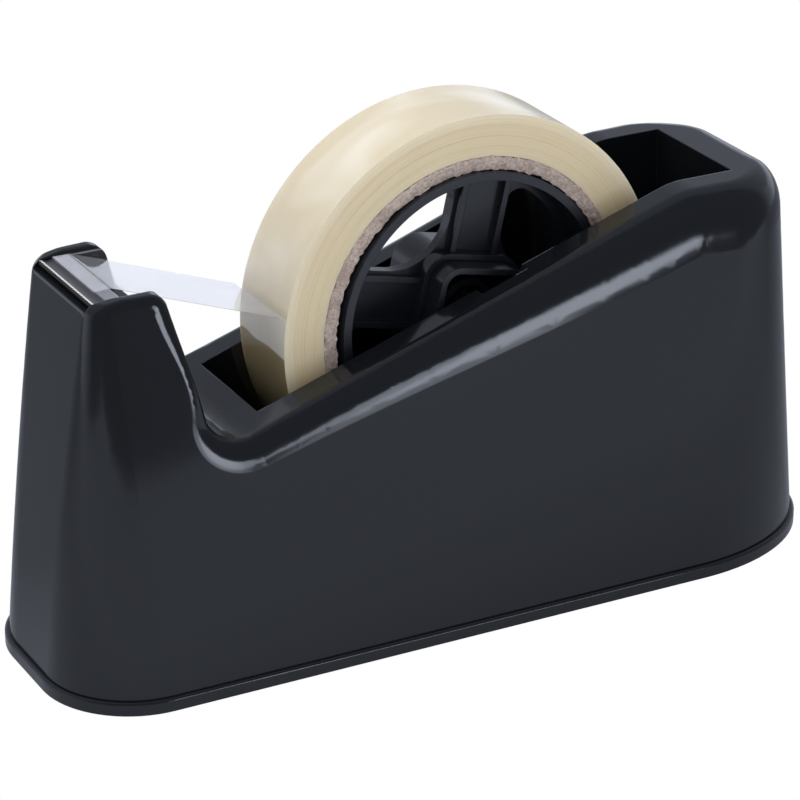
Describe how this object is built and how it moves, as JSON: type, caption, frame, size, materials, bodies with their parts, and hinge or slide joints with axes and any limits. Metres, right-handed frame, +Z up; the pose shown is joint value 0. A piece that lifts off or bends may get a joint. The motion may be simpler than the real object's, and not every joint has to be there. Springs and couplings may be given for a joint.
{
  "type": "tape dispenser",
  "caption": "Weighted bench tape dispenser: drafted glossy housing with a roll well, serrated steel blade between ears, and a spoked core wheel with a tape roll on a lift-out axle.",
  "frame": {"origin": "on the bench under the middle of the base", "axes": "+X from the blade towards the rear, +Y across the housing, +Z up"},
  "size_m": [0.2192, 0.0716, 0.1286],
  "materials": {
    "housing_plastic": "polished moulded ABS, black",
    "base_plastic": "moulded ABS, black, satin",
    "pad_rubber": "foam rubber sheet",
    "screw_steel": "zinc plated",
    "weight_iron": "as cast",
    "blade_steel": "satin, bright cut teeth",
    "axle_steel": "drawn bar",
    "hub_plastic": "satin black",
    "wheel_plastic": "satin black",
    "core_cardboard": "cut paper tube",
    "tape_wound": "wound clear film with acrylic adhesive",
    "tape_film": "single clear film"
  },
  "bodies": {
    "base": {"housing": "housing_plastic", "base_plate": "base_plastic", "non_slip_pad": "pad_rubber", "base_screws": "screw_steel", "front_weight": "weight_iron", "rear_weight": "weight_iron", "cutter_blade": "blade_steel", "tape_strip": "tape_film"},
    "axle": {"axle": "axle_steel"},
    "wheel": {"spindle_hub": "hub_plastic", "core_wheel": "wheel_plastic", "tape_core": "core_cardboard", "tape_roll": "tape_wound"}
  },
  "joints": [
    {"name": "roll_lift", "type": "slide", "parent": "base", "child": "axle", "axis": [0.309, 0, 0.9511], "range_m": [0, 0.095]},
    {"name": "roll_spin", "type": "hinge", "parent": "axle", "child": "wheel", "pos_m": [0.0081, 0, 0.0774], "axis": [0, 1, 0], "continuous": true}
  ]
}
